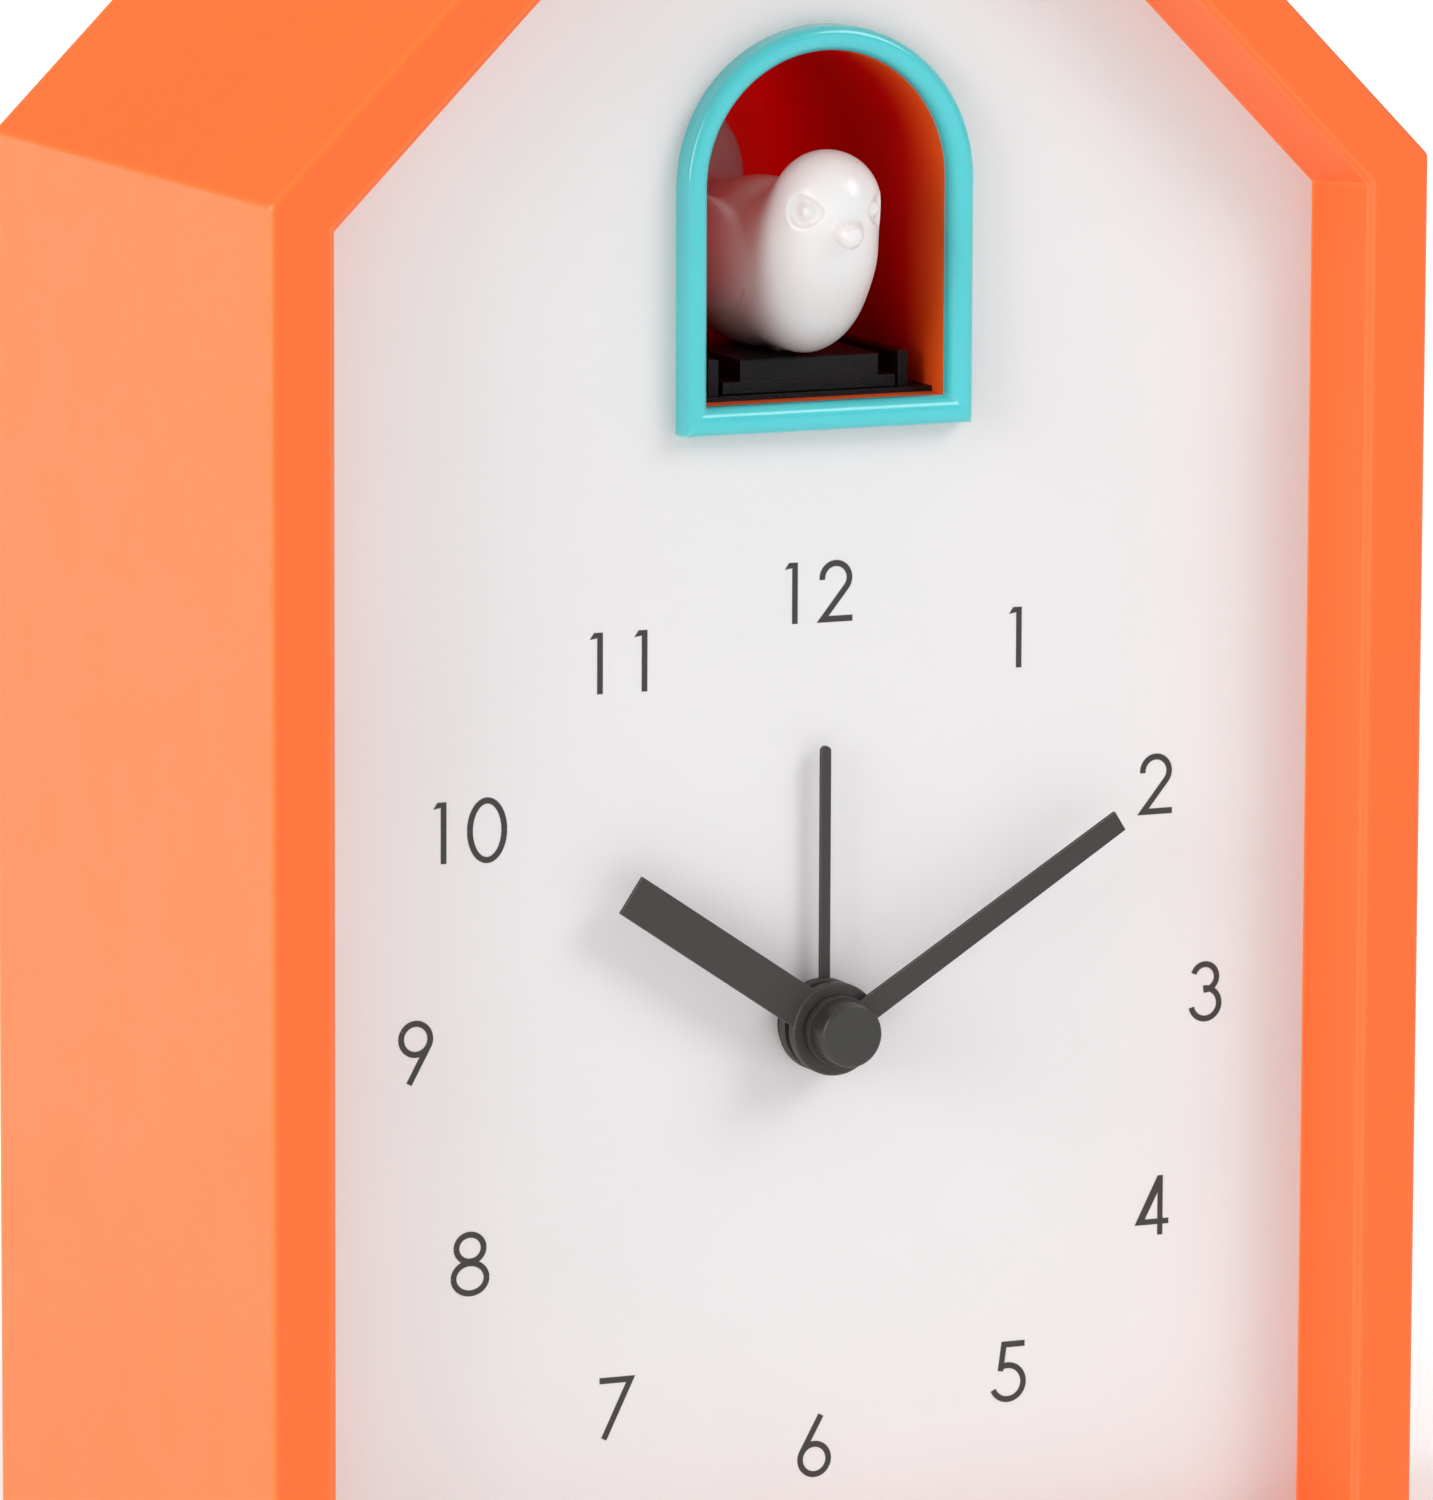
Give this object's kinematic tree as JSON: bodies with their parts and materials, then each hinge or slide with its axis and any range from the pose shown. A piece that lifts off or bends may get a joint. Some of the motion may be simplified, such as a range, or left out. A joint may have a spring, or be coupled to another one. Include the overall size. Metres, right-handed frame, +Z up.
{
  "type": "cuckoo alarm clock",
  "caption": "House-shaped table cuckoo alarm clock with a recessed dial, an arched window with a sliding bird, and setting knobs at the back.",
  "frame": {"origin": "on the table under the middle of the case", "axes": "+Z up, the dial faces -Y, +X to the right of someone who faces the dial"},
  "size_m": [0.12, 0.072, 0.2046],
  "materials": {
    "case_orange": "satin orange moulding",
    "dial_white": "matt white",
    "chamber_red": "saturated orange-red",
    "trim_turquoise": "glossy turquoise",
    "black_plastic": "fine matt black",
    "bird_white": "glossy white",
    "foot_rubber": "matt rubber",
    "hand_grey": "matt warm grey",
    "cap_grey": "satin warm grey",
    "back_plastic": "textured orange",
    "knob_plastic": "satin black",
    "movement_plastic": "matt black",
    "gear_plastic": "natural acetal",
    "steel": "zinc-plated steel",
    "brass": "turned brass",
    "copper": "enamelled copper winding",
    "battery_wrap": "printed foil wrap",
    "contact_metal": "nickel-plated spring steel",
    "board_green": "solder mask",
    "chip_black": "moulded epoxy",
    "speaker_paper": "pressed paper cone",
    "magnet_dark": "ferrite"
  },
  "bodies": {
    "case": {"case_shell": "case_orange", "rubber_feet": "foot_rubber", "dial_plate": "dial_white", "dial_screws": "steel", "window_trim": "trim_turquoise", "bird_chamber": "chamber_red", "chamber_screws": "steel", "track_plate": "black_plastic", "gearbox_frame": "movement_plastic", "gearbox_screws": "steel", "motor_can": "steel", "motor_cap": "movement_plastic", "movement_front": "movement_plastic", "movement_rear": "movement_plastic", "movement_screws": "steel", "step_stator": "steel", "step_coil": "copper", "back_cover": "back_plastic", "back_screws": "steel", "battery_cells": "battery_wrap", "positive_contacts": "contact_metal", "negative_contacts": "contact_metal", "circuit_board": "board_green", "board_screws": "steel", "board_parts": "chip_black", "button_switch": "chip_black", "switch_body": "steel", "speaker_basket": "steel", "speaker_cone": "speaker_paper", "speaker_magnet": "magnet_dark", "speaker_screws": "steel"},
    "minute_train": {"centre_wheel": "gear_plastic", "minute_hand": "hand_grey", "hand_cap": "cap_grey"},
    "hour_train": {"hour_wheel": "gear_plastic", "hour_hand": "hand_grey"},
    "motion_work": {"motion_wheel": "gear_plastic", "time_knob": "knob_plastic"},
    "step_train": {"step_pinion": "gear_plastic"},
    "alarm_train": {"alarm_wheel": "gear_plastic", "alarm_hand": "hand_grey"},
    "alarm_setter": {"alarm_set_gear": "gear_plastic", "alarm_knob": "knob_plastic"},
    "bird_slide": {"carriage": "black_plastic", "bird": "bird_white", "bird_screw": "steel"},
    "bird_drive": {"drive_shaft": "steel", "rack_pinion": "gear_plastic", "drive_gear": "gear_plastic"},
    "motor_rotor": {"motor_pinion": "brass"},
    "door": {"battery_door": "back_plastic"},
    "button": {"sound_button": "knob_plastic"},
    "switch_lever": {"alarm_switch": "knob_plastic"}
  },
  "joints": [
    {"name": "minute_turn", "type": "hinge", "parent": "case", "child": "minute_train", "pos_m": [0, 0, 0.063], "axis": [0, 1, 0], "continuous": true},
    {"name": "hour_turn", "type": "hinge", "parent": "case", "child": "hour_train", "pos_m": [0, 0, 0.063], "axis": [0, 1, 0], "continuous": true},
    {"name": "motion_turn", "type": "hinge", "parent": "case", "child": "motion_work", "pos_m": [-0.0096, 0, 0.063], "axis": [0, 1, 0], "continuous": true},
    {"name": "step_turn", "type": "hinge", "parent": "case", "child": "step_train", "pos_m": [0, 0, 0.072], "axis": [0, 1, 0], "continuous": true},
    {"name": "alarm_turn", "type": "hinge", "parent": "case", "child": "alarm_train", "pos_m": [0, 0, 0.063], "axis": [0, 1, 0], "continuous": true},
    {"name": "alarm_set_turn", "type": "hinge", "parent": "case", "child": "alarm_setter", "pos_m": [0.012, 0, 0.063], "axis": [0, 1, 0], "continuous": true},
    {"name": "bird_out", "type": "slide", "parent": "case", "child": "bird_slide", "axis": [0, -1, 0], "range_m": [0, 0.012]},
    {"name": "drive_turn", "type": "hinge", "parent": "case", "child": "bird_drive", "pos_m": [0, -0.0075, 0.1176], "axis": [1, 0, 0], "range_deg": [0, 191.5]},
    {"name": "motor_turn", "type": "hinge", "parent": "case", "child": "motor_rotor", "pos_m": [0, 0.00054, 0.11085], "axis": [1, 0, 0], "range_deg": [-612, 0]},
    {"name": "door_open", "type": "hinge", "parent": "case", "child": "door", "pos_m": [0, 0.0336, 0.0114], "axis": [-1, 0, 0], "range_deg": [0, 95]},
    {"name": "button_press", "type": "slide", "parent": "case", "child": "button", "axis": [0, -1, 0], "range_m": [0, 0.0008], "stiffness_N_per_m": 300, "springref_m": -0.0004},
    {"name": "switch_move", "type": "slide", "parent": "case", "child": "switch_lever", "axis": [1, 0, 0], "range_m": [0, 0.004]}
  ],
  "couplings": [
    {"joint": "hour_turn", "follows": "minute_turn", "ratio": 0.083333},
    {"joint": "motion_turn", "follows": "minute_turn", "ratio": -0.33333},
    {"joint": "step_turn", "follows": "minute_turn", "ratio": -5},
    {"joint": "alarm_turn", "follows": "alarm_set_turn", "ratio": -0.5},
    {"joint": "drive_turn", "follows": "bird_out", "rad_per_m": 277.78},
    {"joint": "motor_turn", "follows": "bird_out", "rad_per_m": -888.89}
  ]
}
